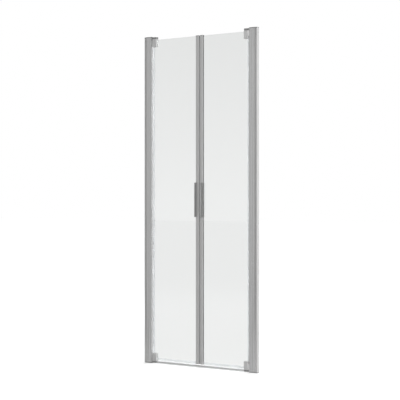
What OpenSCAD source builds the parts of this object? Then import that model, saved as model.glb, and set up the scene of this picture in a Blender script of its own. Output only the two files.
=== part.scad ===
// Double pivot shower door: two glass leaves that swing both ways between two wall profiles.
// The origin is on the floor, in the middle of the doorway. X runs along the closed door,
// -Y faces the outside, +Y the shower, and Z is up.

/* [Doorway] */
// Width between the walls that the door fills
overall_width = 800; // [700:10:1000]
// Height of the uprights with their end caps
overall_height = 1950; // [1800:10:2100]

/* [Wall channels] */
// Front to back depth of the channel that is screwed to the wall
channel_depth = 20; // [17:1:26]
// How far the channel legs reach from the wall
channel_reach = 32; // [24:1:34]
// Thickness of the channel legs
channel_wall = 1.8; // [1.4:0.1:2.4]
// Thickness of the channel web that lies against the wall
channel_web = 2; // [1.5:0.1:3]
// Strip of channel left in view beside the wall profile
channel_reveal = 8; // [7:1:16]
// Number of wall screw holes in each channel
wall_holes = 4; // [3:1:6]
// Diameter of a wall screw hole
wall_hole_d = 5.5; // [4.5:0.1:6.5]
// Distance from either end of the upright to the nearest wall screw hole
wall_hole_margin = 225; // [60:5:400]

/* [Wall profiles] */
// Width of the wall profile, seen from the front
profile_face = 45; // [44:1:60]
// Wall thickness of the wall profile
profile_wall = 2.4; // [2:0.1:2.6]
// Inner width of the hollow box on the leaf side of the wall profile
profile_box = 13.2; // [12:0.2:14]
// Gap between the wall profile and the channel that it slides on
slide_gap = 0.3; // [0.2:0.05:0.5]
// Width of the falling edge on the wall side of the wall profile
edge_run = 10; // [6:1:14]
// How far that edge falls back
edge_fall = 1.6; // [0.8:0.1:1.8]
// Corner radius on the leaf side of the wall profile
profile_corner = 2.5; // [1:0.5:4]
// Thickness of the end caps on the uprights
end_cap = 3; // [2:0.5:5]
// How far the end caps of the channels plug in
channel_plug = 6; // [3:1:12]

/* [Pivots] */
// Distance from the wall profile to the axis that the leaf turns on
pivot_inset = 22; // [20:0.5:30]
// Thickness of a pivot arm
arm_thickness = 9.5; // [8:0.5:12]
// Height of the arm's root inside the wall profile
arm_root = 24; // [22:1:40]
// Diameter of a pivot pin
pin_d = 8; // [6:0.5:10]
// How far a pin reaches into its pivot block
pin_reach = 19; // [12:1:22]
// Diameter of the head that holds a pin in its arm
pin_head_d = 13; // [12:0.5:15]
// Height of that head
pin_head_h = 2; // [1.5:0.5:3]
// Wall thickness of a pivot bush
bush_wall = 2; // [1.5:0.1:3]
// Radial running fit between pin and bush
running_fit = 0.05; // [0.03:0.01:0.1]
// Height between a pivot arm and its block, where the bush flange lies
block_gap = 1; // [0.8:0.1:2]
// How far the bush flange stands out past the sleeve
bush_flange = 2; // [1:0.5:3]

/* [Pivot blocks] */
// Width of a pivot block along the door
block_width = 27.2; // [26:0.2:32]
// Height of a pivot block
block_height = 47.5; // [44:0.5:60]
// Front to back depth of a pivot block
block_depth = 24; // [22:1:30]
// Height of the solid core that fills the notch in the glass
core_height = 34; // [32:1:36]
// Radius of the block's edges on the glass side
block_round = 3; // [1:0.5:5]
// Radius of the block's upright edges
block_corner = 1.5; // [1:0.5:3]
// Distance between the two screws of a block
block_screw_pitch = 13; // [11:0.5:14]
// Thickness of the pads between the blocks and the glass
pad = 0.5; // [0.4:0.1:1]

/* [Glass leaves] */
// Thickness of the glass
glass_t = 6; // [5:1:8]
// How far the glass runs past the pivot axis
glass_past_pivot = 13; // [11:0.5:13.4]
// Height of the glass above the floor
glass_bottom = 22; // [21:0.5:26]
// Distance from the top of the uprights down to the glass
glass_top_drop = 19; // [17:0.5:24]
// Radius in the corner of the notch for the pivot block
notch_round = 3; // [2:0.5:4]

/* [Meeting stiles] */
// Width of a stile, seen from the front
stile_width = 21; // [20:0.5:30]
// Front to back depth of a stile
stile_depth = 14; // [13.5:0.5:18]
// Corner radius of a stile
stile_corner = 1.5; // [1:0.5:2.5]
// Distance from the middle of the doorway to a stile
stile_offset = 4.5; // [4:0.1:6]
// How deep the glass goes into a stile
glass_grip = 11.5; // [8:0.5:12.5]
// Thickness of the gasket between glass and stile
gasket = 0.9; // [0.6:0.1:1.2]
// Thickness of the stile end caps
stile_cap = 3; // [2:0.5:5]
// Height of the pegs that hold those caps in the seal slot
cap_peg = 4; // [2:0.5:8]

/* [Magnetic seals] */
// Width of the gap left between the two closed leaves
meeting_gap = 0.6; // [0.4:0.1:1]
// Front to back width of a magnetic seal
seal_width = 11; // [9.5:0.5:13]
// Width of the slot mouth in the stile that holds a seal
slot_mouth = 5; // [4:0.5:6]
// Width inside that slot
slot_width = 8; // [7:0.5:9]
// Thickness of the two lips beside the slot mouth
slot_lip = 2; // [1.5:0.1:2.4]
// Depth of the slot behind the lips
slot_depth = 3; // [2.4:0.1:3]
// Slack of the seal's foot in the slot
slot_slack = 0.25; // [0.15:0.05:0.4]
// Thickness of the magnet strip
magnet_t = 1.8; // [1.2:0.1:2]
// Width of the magnet strip
magnet_width = 7; // [5:0.5:8]
// Depth of seal skin in front of the magnet
magnet_skin = 1; // [0.6:0.1:1.2]

/* [Side and bottom seals] */
// Wall thickness of the clips that hold a seal on the glass
clip_wall = 1.2; // [0.8:0.1:1.6]
// How far the side seal's clip grips the glass
side_grip = 8; // [6:1:20]
// How far the drip seal's clip grips the glass
drip_grip = 10; // [6:1:20]
// Thickness of the soft fins on the side and drip seals
seal_fin = 1.6; // [1:0.1:2.4]
// Diameter of the bulb at the tip of the side seal
side_bulb_d = 3; // [2.6:0.1:3.6]
// Gap between the soft fins and what they seal against
fin_gap = 0.8; // [0.5:0.1:1.2]

/* [Handles] */
// Height of a handle
handle_height = 200; // [150:10:300]
// Height of the middle of the handles above the floor
handle_centre = 976; // [850:2:1100]
// How far the outside fin stands out from the stile
outside_fin = 23; // [16:1:35]
// How far the inside fin stands out from the stile
inside_fin = 10; // [8:1:35]
// Thickness of a handle fin
fin_t = 3; // [2.5:0.1:4]
// Diameter of the rounded bead along the tip of a fin
bead_d = 4.2; // [4:0.1:5]
// Width of the flange screwed to the stile, with the fin's foot
flange_width = 8.5; // [8:0.5:11]
// Thickness of that flange
flange_t = 2; // [1.8:0.1:3]
// Number of screws in each handle
handle_screw_count = 3; // [2:1:5]
// Distance from the end of a handle to its first screw
handle_screw_margin = 18; // [8:1:40]

/* [Threshold] */
// Front to back depth of the threshold rail
rail_depth = 20; // [17:1:30]
// Height of the threshold rail
rail_height = 7; // [6.5:0.1:7.5]
// Wall thickness of the threshold rail
rail_wall = 1.2; // [1:0.1:1.4]
// Radius of the rail's upper edges
rail_round = 2.5; // [1:0.5:4]
// Height of the soft base seal under the rail
base_height = 5; // [3:0.5:6]
// Front to back depth of the base seal
base_depth = 14; // [10:1:16]
// How far the arm's tongue goes into the end of the rail
tongue = 14; // [8:1:30]
// Width of that tongue
tongue_width = 12; // [8:1:13]

/* [Fasteners] */
// Shank diameter of the screws in arms, blocks and profiles
screw_d = 4; // [3:0.1:4.2]
// Shank diameter of the handle screws
small_screw_d = 2.6; // [2:0.1:3]
// Head diameter of the screws in arms and profiles
screw_head_d = 7; // [6:0.5:8]
// Head height of the screws in arms and profiles
screw_head_h = 2.2; // [1.5:0.1:2.6]
// Slack around a screw in its hole, on the radius
hole_slack = 0.1; // [0.05:0.05:0.2]
// How far an arm screw goes into the arm
arm_screw_bite = 14; // [8:1:16]
// Distance between the two screws of an arm
arm_screw_pitch = 8; // [8:0.5:10]
// How deep an end cap screw goes into the arm
cap_screw_bite = 6; // [4:1:8]
// Number of screws that lock a wall profile on its channel
lock_screws = 3; // [2:1:6]
// Distance from either end of the upright to the nearest lock screw
lock_margin = 150; // [60:5:400]
// Diameter of the snap covers over the lock screws
cover_d = 11; // [10.5:0.5:14]
// Skin thickness of the snap covers
cover_wall = 1; // [0.8:0.1:1.2]

/* [Hidden] */

$fn = 64;
SIDES = ["left", "right"];
ENDS = ["bottom", "top"];
// Overshoot of a cut past the face that it opens
over = 1;
// Slack of plugs, roots and tongues in the hollows that they enter
plug_slack = 0.2;
// Clear length between neighbouring strips on the same leaf
strip_gap = 0.5;
// Axial play of a bush flange over its arm
axial_play = 0.1;
// Slack of a bush or pin in its seat, on the radius
seat_slack = 0.03;
// Wall of a block beside the core that fills the glass notch
core_wall = 2;
// Length of a bush past the end of its pin
bush_spare = 1.5;
// Height and inset of the bevel at the end of a pin
pin_nose = 1;
// How far a countersunk head spreads past its shank, on the radius
head_flare = 1.8;
small_head_flare = 0.9;
// Depth and size of a hexagon socket, as shares of its head's height and its shank's radius
socket_depth = 0.7;
socket_size = 0.7;
// How far the nearest arm screw lies from the end of the arm's root
arm_screw_edge = 3;
// How far a block screw stops short of the front face
screw_short = 3;
// How far a lock screw comes out behind the channel leg
lock_screw_past = 3;

// Places along X, for the right-hand side
wall_x = overall_width / 2;
profile_outer = wall_x - channel_reveal;
profile_inner = profile_outer - profile_face;
box_x0 = profile_inner + profile_wall;
box_x1 = box_x0 + profile_box;
legs_x0 = box_x1 + profile_wall;
channel_tip = wall_x - channel_reach;
lock_x = (channel_tip + profile_outer) / 2;
arm_screw_x = (box_x0 + box_x1) / 2;
pivot_x = profile_inner - pivot_inset;
block_x0 = pivot_x - block_width / 2;
block_x1 = pivot_x + block_width / 2;
core_x0 = block_x0 + core_wall;
notch_x0 = core_x0 - strip_gap;
glass_edge = pivot_x + glass_past_pivot;
stile_outer = stile_offset + stile_width;
glass_x0 = stile_outer - glass_grip;
pocket_x0 = glass_x0 - gasket;
slot_x0 = stile_offset + slot_lip;
slot_x1 = slot_x0 + slot_depth;
magnet_x0 = meeting_gap / 2 + magnet_skin;
fin_x0 = stile_outer - flange_width;

// Half depths along Y
channel_half = channel_depth / 2;
inner_half = channel_half + slide_gap;
profile_half = inner_half + profile_wall;
arm_half = inner_half - plug_slack;
block_half = block_depth / 2;
glass_half = glass_t / 2;
slot_half = glass_half + pad;
pocket_half = glass_half + gasket;
stile_half = stile_depth / 2;
clip_half = glass_half + clip_wall;

// Heights, for the bottom end of the door
arm_top = end_cap + arm_thickness;
block_z0 = arm_top + block_gap;
block_z1 = block_z0 + block_height;
core_top = block_z0 + core_height;
notch_top = core_top + strip_gap;
bush_flange_t = block_gap - axial_play;
bush_end = pin_reach + bush_spare;
last_arm_screw_z = end_cap + arm_root - arm_screw_edge;
glass_z1 = overall_height - glass_top_drop;
rail_top = base_height + rail_height;
handle_z0 = handle_centre - handle_height / 2;

// Radii of pins, bushes and fasteners
pin_r = pin_d / 2;
bush_r = pin_r + running_fit + bush_wall;
screw_r = screw_d / 2;
small_screw_r = small_screw_d / 2;
block_screw_z = block_z0 + (bush_end + core_height) / 2;
block_screw_length = block_depth - screw_short;
handle_screw_x = (fin_x0 + fin_t + stile_outer) / 2;
stile_wall = stile_half - pocket_half;

anodised = [0.66, 0.66, 0.67];
dark_metal = [0.42, 0.42, 0.44];
clear_glass = [0.85, 0.9, 0.9, 0.35];
clear_seal = [0.8, 0.82, 0.83, 0.8];
steel = [0.75, 0.75, 0.76];
rubber = [0.2, 0.2, 0.21];
nylon = [0.93, 0.93, 0.9];

// Draws the right-hand piece, or its mirror image for the left-hand side
module on_side(side) {
    mirror([side == "left" ? 1 : 0, 0, 0]) children();
}

// Draws the bottom piece, or its mirror image at the top
module at_end(end) {
    translate([0, 0, end == "top" ? overall_height : 0])
        mirror([0, 0, end == "top" ? 1 : 0]) children();
}

// Repeats its children in front of and behind the glass
module both_faces() {
    for (m = [0, 1]) mirror([0, m, 0]) children();
}

// Rectangle with round corners
module rounded_rect(x0, x1, y0, y1, r) {
    translate([x0 + r, y0]) square([x1 - x0 - 2 * r, y1 - y0]);
    translate([x0, y0 + r]) square([x1 - x0, y1 - y0 - 2 * r]);
    for (x = [x0 + r, x1 - r], y = [y0 + r, y1 - r]) translate([x, y]) circle(r);
}

module rect(x0, x1, y0, y1) {
    translate([x0, y0]) square([x1 - x0, y1 - y0]);
}

module box(x0, x1, y0, y1, z0, z1) {
    translate([x0, y0, z0]) cube([x1 - x0, y1 - y0, z1 - z0]);
}

// Runs a section of depth and height along the door from x0 to x1
module along_door(x0, x1) {
    translate([x0, 0, 0]) rotate([90, 0, 90]) linear_extrude(x1 - x0) children();
}

// Runs a plan section up from z0 to z1
module upright(z0, z1) {
    translate([0, 0, z0]) linear_extrude(z1 - z0) children();
}

// Cylinder that starts at a place and runs towards the outside of the door, along -Y
module rod_outward(x, y, z, r, length) {
    translate([x, y, z]) rotate([90, 0, 0]) cylinder(h = length, r = r);
}

// Heights of count places between the two ends of a run
function spread(z0, z1, count) = [for (i = [0 : count - 1]) z0 + (z1 - z0) * i / (count - 1)];

WALL_HOLE_Z = spread(wall_hole_margin, overall_height - wall_hole_margin, wall_holes);
LOCK_Z = spread(lock_margin, overall_height - lock_margin, lock_screws);
HANDLE_SCREW_Z = spread(handle_z0 + handle_screw_margin,
                        handle_z0 + handle_height - handle_screw_margin, handle_screw_count);
ARM_SCREW_Z = [last_arm_screw_z - arm_screw_pitch, last_arm_screw_z];

// Uprights

module wall_channel(side) {
    inside = channel_half - channel_wall;
    color(anodised) on_side(side) difference() {
        box(channel_tip, wall_x, -channel_half, channel_half, end_cap, overall_height - end_cap);
        box(channel_tip - over, wall_x - channel_web, -inside, inside, 0, overall_height);
        for (z = WALL_HOLE_Z) translate([wall_x - channel_web - over, 0, z])
            rotate([0, 90, 0]) cylinder(h = channel_web + 2 * over, d = wall_hole_d);
        for (z = LOCK_Z)
            rod_outward(lock_x, channel_half + over, z, screw_r + hole_slack, channel_wall + 2 * over);
    }
}

module channel_end_caps() {
    inside = channel_half - channel_wall - plug_slack;
    color(anodised) for (side = SIDES, end = ENDS) on_side(side) at_end(end) {
        box(profile_outer + plug_slack, wall_x, -channel_half, channel_half, 0, end_cap);
        box(profile_outer + plug_slack, wall_x - channel_web - plug_slack, -inside, inside,
            end_cap, end_cap + channel_plug);
    }
}

// Outline of a wall profile: round corners beside the leaf, edges that fall towards the wall
module profile_outline() {
    fall_r = (pow(edge_run, 2) + pow(edge_fall, 2)) / (2 * edge_fall);
    difference() {
        union() {
            rounded_rect(profile_inner, legs_x0, -profile_half, profile_half, profile_corner);
            rect(box_x1, profile_outer, -profile_half, profile_half);
        }
        for (m = [0, 1]) mirror([0, m]) difference() {
            rect(profile_outer - edge_run, profile_outer + over,
                 profile_half - 2 * edge_fall, profile_half + over);
            translate([profile_outer - edge_run, profile_half - fall_r]) circle(fall_r, $fn = 360);
        }
    }
}

module profile_section() {
    difference() {
        profile_outline();
        rect(box_x0, box_x1, -inner_half, inner_half);
        rect(legs_x0, profile_outer + over, -inner_half, inner_half);
    }
}

module wall_profile(side) {
    color(anodised) on_side(side) difference() {
        upright(end_cap, overall_height - end_cap) profile_section();
        for (end = ENDS) at_end(end) {
            box(profile_inner - over, box_x0 + over, -arm_half - plug_slack, arm_half + plug_slack,
                end_cap - over, arm_top + plug_slack);
            for (z = ARM_SCREW_Z) rod_outward(arm_screw_x, profile_half + over, z,
                                              screw_r + hole_slack, profile_wall + 2 * over);
        }
        for (z = LOCK_Z)
            rod_outward(lock_x, profile_half + over, z, screw_r + hole_slack, profile_wall + 2 * over);
    }
}

module end_cap_plate(side, end) {
    color(anodised) on_side(side) at_end(end) difference() {
        upright(0, end_cap) profile_outline();
        translate([arm_screw_x, 0, 0]) sunk_hole(small_screw_r, small_head_flare, end_cap);
    }
}

// Hole along +Z for a countersunk screw whose flat head lies at z = 0
module sunk_hole(shank_r, flare, depth) {
    r = shank_r + hole_slack;
    translate([0, 0, -over]) cylinder(h = depth + 2 * over, r = r);
    cylinder(h = flare, r1 = r + flare, r2 = r);
}

// Pivots

module pivot_arm(side, end) {
    hollow_z0 = base_height + rail_wall + plug_slack;
    hollow_z1 = rail_top - rail_wall - plug_slack;
    color(dark_metal) on_side(side) at_end(end) difference() {
        union() {
            box(box_x0 + plug_slack, box_x1 - plug_slack, -arm_half, arm_half,
                end_cap, end_cap + arm_root);
            upright(end_cap, arm_top)
                rounded_rect(block_x0, box_x1 - plug_slack, -arm_half, arm_half, block_corner);
            if (end == "bottom")
                box(block_x0 - tongue, pivot_x - pin_head_d / 2, -tongue_width / 2,
                    tongue_width / 2, hollow_z0, hollow_z1);
        }
        translate([pivot_x, 0, end_cap - over])
            cylinder(h = arm_thickness + 2 * over, r = pin_r + seat_slack);
        translate([pivot_x, 0, end_cap - over])
            cylinder(h = pin_head_h + over, r = pin_head_d / 2 + seat_slack);
        for (z = ARM_SCREW_Z) rod_outward(arm_screw_x, profile_half, z, screw_r + hole_slack,
                                          profile_wall + arm_screw_bite + over);
        translate([arm_screw_x, 0, end_cap - over])
            cylinder(h = cap_screw_bite + over + strip_gap, r = small_screw_r + hole_slack);
    }
}

module pivot_pins() {
    shank = arm_thickness + block_gap + pin_reach;
    color(steel) for (side = SIDES, end = ENDS) on_side(side) at_end(end)
        translate([pivot_x, 0, end_cap]) {
            cylinder(h = pin_head_h, d = pin_head_d);
            cylinder(h = shank - pin_nose, r = pin_r);
            translate([0, 0, shank - pin_nose])
                cylinder(h = pin_nose, r1 = pin_r, r2 = pin_r - pin_nose);
        }
}

module pivot_bushes(side) {
    color(nylon) on_side(side) for (end = ENDS) at_end(end) translate([pivot_x, 0, 0])
        difference() {
            union() {
                translate([0, 0, block_z0 - bush_flange_t])
                    cylinder(h = bush_flange_t, r = bush_r + bush_flange);
                translate([0, 0, block_z0 - bush_flange_t])
                    cylinder(h = bush_flange_t + bush_end, r = bush_r);
            }
            translate([0, 0, block_z0 - block_gap - over])
                cylinder(h = block_gap + bush_end + 2 * over, r = pin_r + running_fit);
        }
}

// Pivot blocks

// Outer shape of a block, with the edges on the glass side rounded
module block_body() {
    intersection() {
        upright(block_z0, block_z1)
            rounded_rect(block_x0, block_x1, -block_half, block_half, block_corner);
        along_door(block_x0 - over, block_x1 + over) union() {
            rounded_rect(-block_half, block_half, block_z0, block_z1, block_round);
            rect(-block_half, block_half, block_z0 - over, block_z0 + block_round);
        }
    }
}

// Bush pocket and screw holes, cut from both shells
module block_holes() {
    translate([pivot_x, 0, block_z0 - over])
        cylinder(h = bush_end + over + plug_slack, r = bush_r + seat_slack);
    at_block_screws() sunk_hole(screw_r, head_flare, block_screw_length);
}

// Repeats its children at the screws of a block, with +Z running in from the back face
module at_block_screws() {
    for (s = [-1, 1]) translate([pivot_x + s * block_screw_pitch / 2, block_half, block_screw_z])
        rotate([90, 0, 0]) children();
}

// Core of a block, round where the notch in the glass is round
module block_core() {
    r = notch_round - strip_gap;
    translate([0, slot_half, 0]) rotate([90, 0, 0]) linear_extrude(2 * slot_half) {
        rounded_rect(core_x0, block_x1, block_z0, core_top, r);
        rect(core_x0, block_x1, block_z0, core_top - r);
        rect(pivot_x, block_x1, block_z0, core_top);
    }
}

module block_front(side, end) {
    color(anodised) on_side(side) at_end(end) difference() {
        block_body();
        box(block_x0 - over, block_x1 + over, -slot_half, block_half + over,
            block_z0 - over, block_z1 + over);
        block_holes();
    }
}

module block_back(side, end) {
    color(anodised) on_side(side) at_end(end) difference() {
        union() {
            difference() {
                block_body();
                box(block_x0 - over, block_x1 + over, -block_half - over, slot_half,
                    block_z0 - over, block_z1 + over);
            }
            intersection() {
                block_body();
                block_core();
            }
        }
        block_holes();
    }
}

// Pads bent round the glass where it stands in the notch
module block_pads(side) {
    x0 = notch_x0 + notch_round;
    color(rubber) on_side(side) for (end = ENDS) at_end(end) difference() {
        box(x0, glass_edge, -slot_half, slot_half, core_top, block_z1 - block_round / 2);
        box(x0 - over, glass_edge + over, -glass_half, glass_half, notch_top, block_z1);
    }
}

module block_screws(side) {
    color(steel) on_side(side) for (end = ENDS) at_end(end) at_block_screws()
        socket_sunk_screw(screw_r, head_flare, block_screw_length);
}

// Fasteners

// Countersunk screw that runs along +Z, with its flat head at z = 0 and a hexagon socket
module socket_sunk_screw(shank_r, flare, length) {
    difference() {
        union() {
            cylinder(h = flare, r1 = shank_r + flare, r2 = shank_r);
            cylinder(h = length, r = shank_r);
        }
        translate([0, 0, -over])
            cylinder(h = flare * socket_depth + over, r = shank_r * socket_size, $fn = 6);
    }
}

// Cylinder head screw that runs along +Z, with the underside of its head at z = 0
module socket_head_screw(shank_r, head_r, head_h, length) {
    difference() {
        union() {
            translate([0, 0, -head_h]) cylinder(h = head_h, r = head_r);
            cylinder(h = length, r = shank_r);
        }
        translate([0, 0, -head_h - over])
            cylinder(h = head_h * socket_depth + over, r = shank_r * socket_size, $fn = 6);
    }
}

module arm_screws() {
    color(steel) for (side = SIDES, end = ENDS, z = ARM_SCREW_Z) on_side(side) at_end(end)
        translate([arm_screw_x, profile_half, z]) rotate([90, 0, 0])
            socket_head_screw(screw_r, screw_head_d / 2, screw_head_h,
                              profile_wall + plug_slack + arm_screw_bite);
}

module end_cap_screws() {
    color(steel) for (side = SIDES, end = ENDS) on_side(side) at_end(end)
        translate([arm_screw_x, 0, 0])
            socket_sunk_screw(small_screw_r, small_head_flare, end_cap + cap_screw_bite);
}

module profile_lock_screws() {
    color(steel) for (side = SIDES, z = LOCK_Z) on_side(side)
        translate([lock_x, profile_half, z]) rotate([90, 0, 0])
            socket_head_screw(screw_r, screw_head_d / 2, screw_head_h,
                              profile_wall + slide_gap + channel_wall + lock_screw_past);
}

module lock_screw_covers() {
    cover_h = screw_head_h + cover_wall + plug_slack;
    color(anodised) for (side = SIDES, z = LOCK_Z) on_side(side)
        translate([lock_x, profile_half, z]) rotate([-90, 0, 0]) difference() {
            union() {
                cylinder(h = cover_h - cover_wall / 2, d = cover_d);
                translate([0, 0, cover_h - cover_wall / 2])
                    cylinder(h = cover_wall / 2, r1 = cover_d / 2, r2 = (cover_d - cover_wall) / 2);
            }
            translate([0, 0, -over])
                cylinder(h = screw_head_h + plug_slack + over, d = cover_d - 2 * cover_wall);
        }
}

// Glass leaves

module glass(side) {
    color(clear_glass) on_side(side) difference() {
        box(glass_x0, glass_edge, -glass_half, glass_half, glass_bottom, glass_z1);
        for (end = ENDS) at_end(end)
            translate([0, glass_half + over, 0]) rotate([90, 0, 0]) linear_extrude(glass_t + 2 * over)
                rounded_rect(notch_x0, glass_edge + 2 * notch_round, 0, notch_top, notch_round);
    }
}

// Meeting stiles

module stile_section() {
    difference() {
        rounded_rect(stile_offset, stile_outer, -stile_half, stile_half, stile_corner);
        rect(pocket_x0, stile_outer + over, -pocket_half, pocket_half);
        rect(stile_offset - over, slot_x0 + over, -slot_mouth / 2, slot_mouth / 2);
        rect(slot_x0, slot_x1, -slot_width / 2, slot_width / 2);
    }
}

module stile(side) {
    color(anodised) on_side(side) difference() {
        upright(glass_bottom, glass_z1) stile_section();
        for (z = HANDLE_SCREW_Z) rod_outward(handle_screw_x, stile_half + over, z,
                                             small_screw_r + hole_slack, stile_depth + 2 * over);
    }
}

// Gasket bent round the edge of the glass, with a lip over the edges of the stile
module stile_gasket(side) {
    lip_half = pocket_half + gasket;
    color(rubber) on_side(side) upright(glass_bottom, glass_z1) difference() {
        union() {
            rect(pocket_x0, stile_outer + gasket, -pocket_half, pocket_half);
            rect(stile_outer, stile_outer + gasket, -lip_half, lip_half);
        }
        rect(glass_x0, stile_outer + gasket + over, -glass_half, glass_half);
    }
}

module stile_caps(side) {
    peg = slot_width / 2 - slot_slack;
    color(dark_metal) on_side(side) {
        for (z = [glass_bottom - stile_cap, glass_z1]) upright(z, z + stile_cap)
            rounded_rect(stile_offset, stile_outer, -stile_half, stile_half, stile_corner);
        for (z = [glass_bottom, glass_z1 - cap_peg])
            box(slot_x0 + slot_slack, slot_x1 - slot_slack, -peg, peg, z, z + cap_peg);
    }
}

// Magnetic seals

module magnetic_seal(side) {
    half = seal_width / 2;
    foot = slot_width / 2 - slot_slack;
    neck = slot_mouth / 2 - slot_slack;
    color(clear_seal) on_side(side) upright(glass_bottom + cap_peg, glass_z1 - cap_peg)
        difference() {
            union() {
                rounded_rect(meeting_gap / 2, stile_offset - slot_slack, -half, half, magnet_skin / 2);
                rect(stile_offset - over, slot_x0 + over, -neck, neck);
                rect(slot_x0 + slot_slack, slot_x1 - slot_slack, -foot, foot);
            }
            rect(magnet_x0, magnet_x0 + magnet_t, -magnet_width / 2, magnet_width / 2);
        }
}

module magnet_strip(side) {
    color(rubber) on_side(side) upright(glass_bottom + cap_peg, glass_z1 - cap_peg)
        rect(magnet_x0, magnet_x0 + magnet_t, -magnet_width / 2, magnet_width / 2);
}

// Handles

module handle_section(fin) {
    bead_r = bead_d / 2;
    fin_mid = fin_x0 + fin_t / 2;
    rounded_rect(fin_x0, stile_outer, stile_half, stile_half + flange_t, flange_t / 4);
    rect(fin_x0, fin_x0 + fin_t, stile_half, stile_half + fin - bead_r);
    translate([fin_mid, stile_half + fin - bead_r]) circle(bead_r);
}

// Handle on the shower side; mirrored in Y it is the one outside
module handle(fin) {
    difference() {
        upright(handle_z0, handle_z0 + handle_height) handle_section(fin);
        for (z = HANDLE_SCREW_Z) translate([handle_screw_x, stile_half + flange_t, z])
            rotate([90, 0, 0]) sunk_hole(small_screw_r, small_head_flare, flange_t);
    }
}

module outside_handle(side) {
    color(dark_metal) on_side(side) mirror([0, 1, 0]) handle(outside_fin);
}

module inside_handle(side) {
    color(dark_metal) on_side(side) handle(inside_fin);
}

module handle_screws(side) {
    color(steel) on_side(side) both_faces() for (z = HANDLE_SCREW_Z)
        translate([handle_screw_x, stile_half + flange_t, z]) rotate([90, 0, 0])
            socket_sunk_screw(small_screw_r, small_head_flare, flange_t + stile_wall);
}

// Seals on the glass

module side_seal(side) {
    web = glass_edge + clip_wall;
    tip = profile_inner - fin_gap;
    bulb_r = side_bulb_d / 2;
    color(clear_seal) on_side(side) upright(block_z1 + strip_gap, overall_height - block_z1 - strip_gap)
        difference() {
            union() {
                rounded_rect(glass_edge - side_grip, web, -clip_half, clip_half, clip_wall / 2);
                rect(web - clip_wall / 2, tip - bulb_r, -seal_fin / 2, seal_fin / 2);
                translate([tip - bulb_r, 0]) circle(bulb_r);
            }
            rect(glass_edge - side_grip - over, glass_edge, -glass_half, glass_half);
        }
}

module drip_seal(side) {
    web = glass_bottom - clip_wall;
    x0 = stile_outer + gasket + strip_gap;
    x1 = block_x0 - strip_gap;
    color(clear_seal) on_side(side) along_door(x0, x1) difference() {
        union() {
            rounded_rect(-clip_half, clip_half, web, glass_bottom + drip_grip, clip_wall / 2);
            rect(-seal_fin / 2, seal_fin / 2, rail_top + fin_gap, web + clip_wall / 2);
        }
        rect(-glass_half, glass_half, glass_bottom, glass_bottom + drip_grip + over);
    }
}

// Threshold

module threshold_rail() {
    half = rail_depth / 2;
    x1 = block_x0 - strip_gap;
    color(dark_metal) along_door(-x1, x1) difference() {
        union() {
            rounded_rect(-half, half, base_height, rail_top, rail_round);
            rect(-half, half, base_height, rail_top - rail_round);
        }
        rect(-half + rail_wall, half - rail_wall, base_height + rail_wall, rail_top - rail_wall);
    }
}

module threshold_base_seal() {
    x1 = block_x0 - strip_gap;
    waist_out = base_depth / 2 + sqrt(pow(base_height, 2) - pow(base_height / 2, 2));
    color(clear_seal) along_door(-x1, x1) difference() {
        rect(-base_depth / 2, base_depth / 2, 0, base_height);
        for (s = [-1, 1]) translate([s * waist_out, base_height / 2]) circle(base_height);
    }
}

wall_channel("left");  // left_wall_channel
wall_channel("right");  // right_wall_channel
channel_end_caps();
wall_profile("left");  // left_wall_profile
wall_profile("right");  // right_wall_profile
end_cap_plate("left", "top");  // left_top_end_cap
end_cap_plate("left", "bottom");  // left_bottom_end_cap
end_cap_plate("right", "top");  // right_top_end_cap
end_cap_plate("right", "bottom");  // right_bottom_end_cap
pivot_arm("left", "top");  // left_top_pivot_arm
pivot_arm("left", "bottom");  // left_bottom_pivot_arm
pivot_arm("right", "top");  // right_top_pivot_arm
pivot_arm("right", "bottom");  // right_bottom_pivot_arm
pivot_pins();
arm_screws();
end_cap_screws();
profile_lock_screws();
lock_screw_covers();
threshold_rail();
threshold_base_seal();
glass("left");  // left_glass
glass("right");  // right_glass
block_front("left", "top");  // left_top_block_front
block_back("left", "top");  // left_top_block_back
block_front("left", "bottom");  // left_bottom_block_front
block_back("left", "bottom");  // left_bottom_block_back
block_front("right", "top");  // right_top_block_front
block_back("right", "top");  // right_top_block_back
block_front("right", "bottom");  // right_bottom_block_front
block_back("right", "bottom");  // right_bottom_block_back
block_pads("left");  // left_block_pads
block_pads("right");  // right_block_pads
block_screws("left");  // left_block_screws
block_screws("right");  // right_block_screws
pivot_bushes("left");  // left_pivot_bushes
pivot_bushes("right");  // right_pivot_bushes
stile("left");  // left_stile
stile("right");  // right_stile
stile_gasket("left");  // left_stile_gasket
stile_gasket("right");  // right_stile_gasket
stile_caps("left");  // left_stile_caps
stile_caps("right");  // right_stile_caps
magnetic_seal("left");  // left_magnetic_seal
magnetic_seal("right");  // right_magnetic_seal
magnet_strip("left");  // left_magnet_strip
magnet_strip("right");  // right_magnet_strip
outside_handle("left");  // left_outside_handle
outside_handle("right");  // right_outside_handle
inside_handle("left");  // left_inside_handle
inside_handle("right");  // right_inside_handle
handle_screws("left");  // left_handle_screws
handle_screws("right");  // right_handle_screws
side_seal("left");  // left_side_seal
side_seal("right");  // right_side_seal
drip_seal("left");  // left_drip_seal
drip_seal("right");  // right_drip_seal
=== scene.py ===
import math

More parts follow.
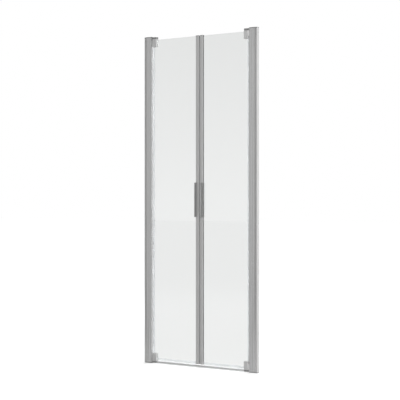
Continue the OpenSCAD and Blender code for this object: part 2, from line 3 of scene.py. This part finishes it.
import bpy
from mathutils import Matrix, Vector


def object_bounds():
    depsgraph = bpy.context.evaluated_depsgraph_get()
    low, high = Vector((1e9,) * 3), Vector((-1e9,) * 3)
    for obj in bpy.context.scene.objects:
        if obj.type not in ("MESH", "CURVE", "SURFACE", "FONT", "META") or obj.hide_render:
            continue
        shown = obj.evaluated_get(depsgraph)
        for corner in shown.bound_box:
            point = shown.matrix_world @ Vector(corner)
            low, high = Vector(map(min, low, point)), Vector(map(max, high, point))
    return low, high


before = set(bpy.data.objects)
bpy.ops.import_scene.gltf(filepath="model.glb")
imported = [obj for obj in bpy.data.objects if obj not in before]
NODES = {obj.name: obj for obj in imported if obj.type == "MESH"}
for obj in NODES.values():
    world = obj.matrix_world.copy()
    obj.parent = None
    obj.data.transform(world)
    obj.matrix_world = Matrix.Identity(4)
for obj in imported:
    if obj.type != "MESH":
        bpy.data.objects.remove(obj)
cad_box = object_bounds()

# Shader graphs

# A noise keeps mostly between these two values, so they stand for its lowest and highest
NOISE_SPAN = (0.3, 0.7)


class Graph:
    """Node tree of a material or a world, with short calls for the nodes used here."""

    def __init__(self, owner, output):
        self.owner = owner
        owner.use_nodes = True
        self.tree = owner.node_tree
        self.tree.nodes.clear()
        self.output = self.node(output)

    def node(self, kind, inputs=None, **properties):
        """A new node; an input gets a value, or a link where it is given a socket."""
        n = self.tree.nodes.new(kind)
        for key, value in properties.items():
            setattr(n, key, value)
        for key, value in (inputs or {}).items():
            if isinstance(value, bpy.types.NodeSocket):
                self.tree.links.new(value, n.inputs[key])
            else:
                n.inputs[key].default_value = value
        return n

    def noise(self, scale, detail, rough):
        """Noise between 0 and 1, fixed to the piece; scale is its waves per metre along x, y and z."""
        where = self.node("ShaderNodeTexCoord").outputs["Object"]
        place = self.node("ShaderNodeMapping", {"Vector": where, "Scale": scale}).outputs[0]
        inputs = {"Vector": place, "Scale": 1.0, "Detail": detail, "Roughness": rough}
        return self.node("ShaderNodeTexNoise", inputs).outputs["Fac"]

    def math(self, operation, a, b=0.0):
        return self.node("ShaderNodeMath", {0: a, 1: b}, operation=operation).outputs[0]

    def vector(self, operation, a, b=(0.0, 0.0, 0.0)):
        """Both results of an operation on vectors: Vector and Value."""
        return self.node("ShaderNodeVectorMath", {0: a, 1: b}, operation=operation).outputs

    def remap(self, value, span, result, kind="LINEAR"):
        """Number that goes from the first of result to the second as value crosses span."""
        inputs = {"Value": value}
        inputs["From Min"], inputs["From Max"] = span
        inputs["To Min"], inputs["To Max"] = result
        return self.node("ShaderNodeMapRange", inputs, interpolation_type=kind).outputs[0]

    def softly(self, value, span, result):
        """As remap, with soft ends."""
        return self.remap(value, span, result, "SMOOTHSTEP")

    def blend(self, factor, a, b):
        """Number between a and b."""
        inputs = {"Factor": factor, "A": a, "B": b}
        return self.node("ShaderNodeMix", inputs, data_type="FLOAT").outputs["Result"]

    def blend_colors(self, factor, a, b):
        """Colour between a and b."""
        inputs = {"Factor": factor, "A": a, "B": b}
        return self.node("ShaderNodeMix", inputs, data_type="RGBA").outputs["Result"]

    def blend_shaders(self, factor, a, b):
        """Shader between a and b."""
        return self.node("ShaderNodeMixShader", {0: factor, 1: a, 2: b}).outputs[0]

    def tones(self, noise, level, dark, light, warmth=0.0, span=NOISE_SPAN):
        """Grey that follows a noise between two shares of its level, dark and light."""
        share = self.remap(noise, span, (0.0, 1.0))
        return self.blend_colors(share, grey(level * dark, warmth), grey(level * light, warmth))

    def roughness(self, noise, low, high):
        """Roughness that follows a noise between low and high."""
        return self.remap(noise, NOISE_SPAN, (low, high))

    def bump(self, height, distance, strength, under=None):
        """Normal of a relief; distance is its depth in metres, and under the normal of a finer one."""
        inputs = {"Height": height, "Distance": distance, "Strength": strength}
        if under is not None:
            inputs["Normal"] = under
        return self.node("ShaderNodeBump", inputs).outputs[0]

    def principled(self, **sockets):
        """A Principled shader; underscores in the names stand for spaces."""
        inputs = {key.replace("_", " "): value for key, value in sockets.items()}
        return self.node("ShaderNodeBsdfPrincipled", inputs).outputs[0]

    def diffuse(self, color):
        return self.node("ShaderNodeBsdfDiffuse", {"Color": color}).outputs[0]

    def lets_lamps_through(self, surface, color):
        """The same shader, which tints the light of lamps instead of stopping it."""
        clear = self.node("ShaderNodeBsdfTransparent", {"Color": color}).outputs[0]
        is_shadow = self.node("ShaderNodeLightPath").outputs["Is Shadow Ray"]
        return self.blend_shaders(is_shadow, surface, clear)

    def finish(self, surface):
        """Gives back the material or world, with this surface in its output."""
        self.tree.links.new(surface, self.output.inputs["Surface"])
        return self.owner


def new_material(name):
    return Graph(bpy.data.materials.new(name), "ShaderNodeOutputMaterial")


def grey(level, warmth=0.0):
    """A colour near grey; warmth leans it to red or, below zero, to blue."""
    return (level * (1 + warmth), level, level * (1 - warmth), 1.0)


def even(waves):
    """Noise scale that is the same along x, y and z."""
    return (waves, waves, waves)


def run(axis, along, across):
    """Noise scale for lines that run along an axis."""
    return tuple(along if letter == axis else across for letter in "xyz")


# Materials

# Share of mirror-like metal in anodised aluminium, whose oxide skin scatters the rest
MATT = 0.1
SATIN = 0.35
GLOSSY = 0.55

GLASS_FACE = (0.845, 0.855, 0.85, 1.0)
GLASS_EDGE = (0.68, 0.74, 0.71, 1.0)
# What is left of a lamp's light behind a pane
GLASS_SHADE = (0.90, 0.91, 0.905, 1.0)
# Part of a normal that lies across the pane: less on its ground edges, more on its clear faces
GLASS_ACROSS = (0.85, 0.98)
# Shares of cloudiness in the tone of a profile, and of grain in its roughness; die lines make the rest
CLOUD_SHARE = 0.45
GRAIN_SHARE = 0.4
# Noise values between which the bloom on rubber shows; they are high, so that most of it stays dark
BLOOM_SPAN = (0.35, 0.75)


def extrusion(name, level, axis, roughness, metallic):
    """Anodised aluminium profile: die lines along its run, a fine matt grain and faint cloudiness."""
    g = new_material(name)
    lines = g.noise(run(axis, along=1.5, across=900.0), detail=4.0, rough=0.65)
    grain = g.noise(even(5200.0), detail=2.0, rough=0.6)
    clouds = g.noise(run(axis, along=2.2, across=14.0), detail=3.0, rough=0.55)
    color = g.tones(g.blend(CLOUD_SHARE, lines, clouds), level, dark=0.94, light=1.06)
    rough = g.roughness(g.blend(GRAIN_SHARE, lines, grain), low=roughness - 0.06, high=roughness + 0.08)
    fine = g.bump(grain, distance=0.00001, strength=0.4)
    normal = g.bump(lines, distance=0.00002, strength=0.5, under=fine)
    surface = g.principled(Base_Color=color, Metallic=metallic, Roughness=rough, Normal=normal)
    return g.finish(surface)


def casting(name, level, roughness, metallic):
    """Die-cast and anodised block: an even satin grain."""
    g = new_material(name)
    grain = g.noise(even(2600.0), detail=4.0, rough=0.6)
    clouds = g.noise(even(35.0), detail=3.0, rough=0.5)
    color = g.tones(clouds, level, dark=0.95, light=1.05)
    rough = g.roughness(grain, low=roughness - 0.05, high=roughness + 0.07)
    normal = g.bump(grain, distance=0.00002, strength=0.6)
    surface = g.principled(Base_Color=color, Metallic=metallic, Roughness=rough, Normal=normal)
    return g.finish(surface)


def moulding(name, level, roughness=0.5, warmth=0.0):
    """Moulded plastic with a fine spark-eroded texture."""
    g = new_material(name)
    pores = g.noise(even(3800.0), detail=3.0, rough=0.55)
    clouds = g.noise(even(60.0), detail=3.0, rough=0.5)
    color = g.tones(clouds, level, dark=0.93, light=1.07, warmth=warmth)
    rough = g.roughness(pores, low=roughness - 0.06, high=roughness + 0.08)
    normal = g.bump(pores, distance=0.00003, strength=0.7)
    return g.finish(g.principled(Base_Color=color, Roughness=rough, Normal=normal))


def rubber(name, level, axis):
    """Soft black rubber section with faint drag lines along its run."""
    g = new_material(name)
    lines = g.noise(run(axis, along=3.0, across=1400.0), detail=3.0, rough=0.6)
    bloom = g.noise(even(90.0), detail=4.0, rough=0.6)
    color = g.tones(bloom, level, dark=0.85, light=1.5, span=BLOOM_SPAN)
    rough = g.roughness(bloom, low=0.5, high=0.68)
    normal = g.bump(lines, distance=0.00003, strength=0.5)
    surface = g.principled(Base_Color=color, Roughness=rough, Normal=normal, Specular_IOR_Level=0.35)
    return g.finish(surface)


def soft_pvc(name, level, axis, transmission, roughness):
    """Translucent extruded PVC with flow lines along its run and a slightly cloudy body."""
    g = new_material(name)
    lines = g.noise(run(axis, along=0.4, across=700.0), detail=2.0, rough=0.6)
    clouds = g.noise(run(axis, along=9.0, across=60.0), detail=3.0, rough=0.5)
    color = g.tones(clouds, level, dark=0.95, light=1.04, warmth=-0.01)
    rough = g.roughness(lines, low=roughness - 0.08, high=roughness + 0.08)
    normal = g.bump(lines, distance=0.00002, strength=0.5)
    surface = g.principled(
        Base_Color=color, Roughness=rough, Normal=normal, Transmission_Weight=transmission, IOR=1.3
    )
    return g.finish(g.lets_lamps_through(surface, grey(level * transmission)))


def turned_steel(name, level):
    """Stainless screw or pin: a fine grain, with light scratches along Y."""
    g = new_material(name)
    scratches = g.noise(run("y", along=260.0, across=1500.0), detail=4.0, rough=0.7)
    grain = g.noise(even(4200.0), detail=2.0, rough=0.5)
    color = g.tones(scratches, level, dark=0.93, light=1.05, warmth=0.01)
    rough = g.roughness(scratches, low=0.2, high=0.36)
    normal = g.bump(grain, distance=0.00001, strength=0.4)
    return g.finish(g.principled(Base_Color=color, Metallic=1.0, Roughness=rough, Normal=normal))


def float_glass(name):
    """Clear toughened glass, with faintly wavy faces and fine-ground, greener edges."""
    g = new_material(name)
    facing = g.node("ShaderNodeTexCoord").outputs["Normal"]
    across = g.node("ShaderNodeSeparateXYZ", {0: facing}).outputs["Y"]
    edge = g.remap(g.math("ABSOLUTE", across), GLASS_ACROSS, (1.0, 0.0))
    grain = g.noise(even(2400.0), detail=3.0, rough=0.6)
    waves = g.noise(run("z", along=5.0, across=3.0), detail=2.0, rough=0.4)
    color = g.blend_colors(edge, GLASS_FACE, GLASS_EDGE)
    rough = g.math("MULTIPLY", edge, g.roughness(grain, low=0.22, high=0.36))
    normal = g.bump(waves, distance=0.0002, strength=0.15)
    surface = g.principled(
        Base_Color=color, Roughness=rough, Normal=normal, Transmission_Weight=1.0, IOR=1.5
    )
    return g.finish(g.lets_lamps_through(surface, GLASS_SHADE))


MATERIALS = {
    "upright": extrusion("anodised_upright", level=0.48, axis="z", roughness=0.24, metallic=GLOSSY),
    "stile": extrusion("anodised_stile", level=0.465, axis="z", roughness=0.4, metallic=MATT),
    "channel": extrusion("anodised_channel", level=0.49, axis="z", roughness=0.42, metallic=MATT),
    "block": casting("anodised_block", level=0.51, roughness=0.4, metallic=MATT),
    "arm": casting("dark_anodised_arm", level=0.25, roughness=0.42, metallic=SATIN),
    "rail": extrusion("dark_anodised_rail", level=0.46, axis="x", roughness=0.4, metallic=SATIN),
    "handle": extrusion("dark_anodised_handle", level=0.30, axis="z", roughness=0.32, metallic=GLOSSY),
    "cap": moulding("grey_cap", level=0.12),
    "dark_cap": moulding("dark_cap", level=0.20),
    "cover": moulding("snap_cover", level=0.36, roughness=0.45),
    "screw": turned_steel("stainless_screw", level=0.62),
    "bush": moulding("white_nylon", level=0.82, roughness=0.45, warmth=0.02),
    "gasket": rubber("black_rubber", level=0.10, axis="z"),
    "magnet": rubber("magnet_rubber", level=0.04, axis="z"),
    "side_seal": soft_pvc("clear_pvc_upright", level=0.96, axis="z", transmission=0.97, roughness=0.06),
    "drip_seal": soft_pvc("clear_pvc_drip", level=0.95, axis="x", transmission=0.95, roughness=0.12),
    "base_seal": soft_pvc("clear_pvc_base", level=0.95, axis="x", transmission=0.85, roughness=0.25),
    "magnetic_seal": soft_pvc("grey_pvc", level=0.30, axis="z", transmission=0.15, roughness=0.4),
    "glass": float_glass("clear_glass_leaf"),
}

# Finish of the nodes

# What each CAD node is made of, by the words in its name; the first match holds
FINISHES = {
    "wall_channel": "channel",
    "channel_end_caps": "cap",
    "wall_profile": "upright",
    "end_cap_screws": "screw",
    "end_cap": "cap",
    "pivot_arm": "arm",
    "pivot_pins": "screw",
    "screw_covers": "cover",
    "screws": "screw",
    "rail": "rail",
    "base_seal": "base_seal",
    "glass": "glass",
    "block_pads": "gasket",
    "block": "block",
    "bushes": "bush",
    "stile_gasket": "gasket",
    "stile_caps": "dark_cap",
    "stile": "stile",
    "magnetic_seal": "magnetic_seal",
    "magnet_strip": "magnet",
    "handle": "handle",
    "side_seal": "side_seal",
    "drip_seal": "drip_seal",
}

# Edge radii in metres, found in the same way; a node that isn't listed keeps the default
EDGES = {
    "glass": 0.0007,
    "wall_profile": 0.0003,
    "wall_channel": 0.0003,
    "pivot_arm": 0.0006,
    "block_front": 0.0005,
    "block_back": 0.0005,
    "end_cap": 0.0004,
    "handle": 0.0003,
    "rail": 0.0003,
}
DEFAULT_EDGE = 0.0002
# An edge is rounded, in this many steps, where its faces meet at more than the angle
SHARP = math.radians(35)
EDGE_STEPS = 2
# Faces that meet at less than this angle become one
FLAT = math.radians(0.3)
# Points closer than these become one, before and after the edges are rounded
SAME_POINT = 1e-6
SLIVER = 5e-6
# How far the faces of the glass are drawn back
HAIR_GAP = 0.00004


def match(table, name, default=None):
    """What a table gives for the first of its words that a node's name holds."""
    return next((value for word, value in table.items() if word in name), default)


def merge_points(piece, name, distance):
    weld = piece.modifiers.new(name, "WELD")
    weld.merge_threshold = distance


def soften(piece, radius):
    """Rounds the sharp edges of a node by a small radius, and leaves its vertices alone."""
    merge_points(piece, "join", SAME_POINT)
    flat = piece.modifiers.new("merge_flat_faces", "DECIMATE")
    flat.decimate_type = "DISSOLVE"
    flat.angle_limit = FLAT
    bevel = piece.modifiers.new("edges", "BEVEL")
    bevel.width = radius
    bevel.segments = EDGE_STEPS
    bevel.limit_method = "ANGLE"
    bevel.angle_limit = SHARP
    merge_points(piece, "merge_slivers", SLIVER)
    normals = piece.modifiers.new("normals", "WEIGHTED_NORMAL")
    normals.keep_sharp = False


def draw_back(piece):
    """Draws the faces of the glass back by a hair, so that they don't lie in those of the seals."""
    gap = piece.modifiers.new("hair_gap", "DISPLACE")
    gap.strength = -HAIR_GAP
    gap.mid_level = 0.0


for name, node in NODES.items():
    for slot in node.material_slots:
        slot.material = MATERIALS[match(FINISHES, name)]
    soften(node, match(EDGES, name, DEFAULT_EDGE))
    if "glass" in name:
        draw_back(node)

# Studio

WHITE = grey(1.0)
# A direction times this is level
NO_HEIGHT = (1.0, 1.0, 0.0)
# Direction of a bright screen in front of the door, on the left
SCREEN = (-0.576, -0.817, 0.0)
SCREEN_GLOW = 0.72
# It fades between these cosines of the angle from its middle
SCREEN_EDGE = (0.92, 0.998)
# It ends softly between these sines of the height above the horizon
SCREEN_TOP = (0.3, 0.6)
# Distances from the door between which its glow on the floor narrows to the screen's own strip
SCREEN_FOOT = (0.8, 2.4)
# Half the side of the floor
FLOOR_HALF = 40.0
# Share of light that the floor scatters onto the door
FLOOR_BOUNCE = 0.45
# Share of light that the floor scatters and its glow, as the camera sees them: near the door, where its
# shadow shows, and far off, where the lamps don't reach; and the distances between which they change
FLOOR_PALE = (0.8, 0.3)
FLOOR_GLOW = (0.35, 0.90)
FLOOR_REACH = (1.2, 4.0)
# Share of light that the floor scatters as seen through glass or in a mirror
FLOOR_FAINT = 0.06
# Its glow through glass, and mirrored from behind and in front of the door
FLOOR_THROUGH = 0.95
FLOOR_BACK = 0.85
FLOOR_FRONT = 0.07
# Places along Y between which the mirrored glow changes from front to back
FLOOR_TURN = (-0.6, 1.0)
# Light of the room in front of the door, by the sine of the height: from 0, level, to 1, straight up
ROOM_FRONT = ((0.0, 0.22), (0.13, 0.10), (0.36, 0.18), (1.0, 0.30))
# Light of the room behind the door, and the part of it that falls on matt faces
ROOM_BACK = 1.0
ROOM_BACK_SOFT = 0.55
# Parts of a direction along Y between which the room changes from front to back
ROOM_TURN = (-0.15, 0.55)
# White wall as seen through the glass: its light changes between these sines of the height
WALL_SPAN = (0.0, 0.137)
WALL_THROUGH = (1.0, 0.915)
# Side of each square lamp
LAMP_SIZE = 2.5
# Middle of the door, which the lamps and the camera face
MIDDLE = Vector((0.0, 0.0, cad_box[1][2] / 2))


def screen(g, way):
    """Glow of the screen in a direction, whatever its height."""
    level = g.vector("MULTIPLY", way, NO_HEIGHT)["Vector"]
    level = g.vector("NORMALIZE", level)["Vector"]
    toward = g.vector("DOT_PRODUCT", level, SCREEN)["Value"]
    return g.softly(toward, SCREEN_EDGE, (0.0, SCREEN_GLOW))


def floor_glow(g, path, place, away):
    """Glow of the floor, as the camera, a mirror or glass shows it."""
    foot = g.softly(away, SCREEN_FOOT, (SCREEN_GLOW, 0.0))
    before = g.math("ADD", g.math("MAXIMUM", screen(g, place), foot), FLOOR_FRONT)
    depth = g.node("ShaderNodeSeparateXYZ", {0: place}).outputs["Y"]
    mirrored = g.blend(g.softly(depth, FLOOR_TURN, (0.0, 1.0)), before, FLOOR_BACK)
    open_glow = g.softly(away, FLOOR_REACH, FLOOR_GLOW)
    strength = g.blend(path["Is Glossy Ray"], open_glow, mirrored)
    strength = g.blend(path["Is Transmission Ray"], strength, FLOOR_THROUGH)
    return g.node("ShaderNodeEmission", {"Color": WHITE, "Strength": strength}).outputs[0]


def floor_material():
    """Pale floor that reads as the white background, and keeps the object's shadow."""
    g = new_material("studio_floor")
    path = g.node("ShaderNodeLightPath").outputs
    place = g.node("ShaderNodeNewGeometry").outputs["Position"]
    away = g.vector("LENGTH", place)["Value"]
    open_share = g.softly(away, FLOOR_REACH, FLOOR_PALE)
    pale = g.diffuse(g.blend(path["Is Camera Ray"], FLOOR_FAINT, open_share))
    seen = g.node("ShaderNodeAddShader", {0: pale, 1: floor_glow(g, path, place, away)}).outputs[0]
    is_seen = g.math("MAXIMUM", path["Is Camera Ray"], path["Is Glossy Ray"])
    is_seen = g.math("MAXIMUM", is_seen, path["Is Transmission Ray"])
    return g.finish(g.blend_shaders(is_seen, g.diffuse(grey(FLOOR_BOUNCE)), seen))


def make_floor():
    """Square floor around the foot of the door."""
    corners = ((-1, -1), (1, -1), (1, 1), (-1, 1))
    mesh = bpy.data.meshes.new("floor")
    mesh.from_pydata([(x * FLOOR_HALF, y * FLOOR_HALF, 0.0) for x, y in corners], [], [(0, 1, 2, 3)])
    mesh.materials.append(floor_material())
    square = bpy.data.objects.new("floor", mesh)
    bpy.context.scene.collection.objects.link(square)
    return square


def front_light(g, height):
    """Light of the room in front of the door, for a sine of the height."""
    ramp = g.node("ShaderNodeValToRGB", {"Fac": height})
    # A new ramp has stops at 0 and 1
    stops = ramp.color_ramp.elements
    for position, _ in ROOM_FRONT[1:-1]:
        stops.new(position)
    for stop, (_, strength) in zip(stops, ROOM_FRONT):
        stop.color = grey(strength)
    return ramp.outputs["Color"]


def room():
    """World: bright behind the door, calmer in front of it, and white where the camera sees it."""
    g = Graph(bpy.data.worlds.new("studio"), "ShaderNodeOutputWorld")
    path = g.node("ShaderNodeLightPath").outputs
    way = g.node("ShaderNodeTexCoord").outputs["Generated"]
    parts = g.node("ShaderNodeSeparateXYZ", {0: way}).outputs
    below_top = g.softly(parts["Z"], SCREEN_TOP, (1.0, 0.0))
    lit_screen = g.math("MULTIPLY", screen(g, way), below_top)
    front = g.math("ADD", front_light(g, parts["Z"]), lit_screen)
    back = g.blend(path["Is Glossy Ray"], ROOM_BACK_SOFT, ROOM_BACK)
    light = g.blend(g.softly(parts["Y"], ROOM_TURN, (0.0, 1.0)), front, back)
    wall = g.remap(parts["Z"], WALL_SPAN, WALL_THROUGH)
    light = g.blend(path["Is Transmission Ray"], light, wall)
    light = g.blend(path["Is Camera Ray"], light, 1.0)
    return g.finish(g.node("ShaderNodeBackground", {"Color": WHITE, "Strength": light}).outputs[0])


def lamp(name, place, power, shadow=True):
    """Soft square lamp that faces the middle of the door."""
    data = bpy.data.lights.new(name, "AREA")
    data.energy = power
    data.size = LAMP_SIZE
    data.use_shadow = shadow
    light = bpy.data.objects.new(name, data)
    light.location = place
    light.rotation_euler = (MIDDLE - Vector(place)).to_track_quat("-Z", "Y").to_euler()
    light.visible_glossy = False
    bpy.context.scene.collection.objects.link(light)


floor = make_floor()
bpy.context.scene.world = room()
lamp("front", place=(3.4, -4.9, 3.0), power=230.0)
# The key lamp casts no shadows, so that it lights the narrow gaps beside the blocks too
lamp("key", place=(5.8, 0.0, 1.2), power=220.0, shadow=False)
lamp("back", place=(-1.8, 4.4, 4.0), power=160.0)

# Camera, at the photograph's place

VIEW_ANGLE = math.radians(35.2)
DISTANCE = 7.076
# Focal length and width of the film, in millimetres
LENS = 109.35
FILM = 36.0

camera_data = bpy.data.cameras.new("camera")
camera_data.lens = LENS
camera_data.sensor_width = FILM
camera = bpy.data.objects.new("camera", camera_data)
camera.location = MIDDLE + DISTANCE * Vector((math.sin(VIEW_ANGLE), -math.cos(VIEW_ANGLE), 0.0))
camera.rotation_euler = (math.radians(90), 0.0, VIEW_ANGLE)
bpy.context.scene.collection.objects.link(camera)
bpy.context.scene.camera = camera
bpy.context.scene.view_settings.view_transform = "Standard"
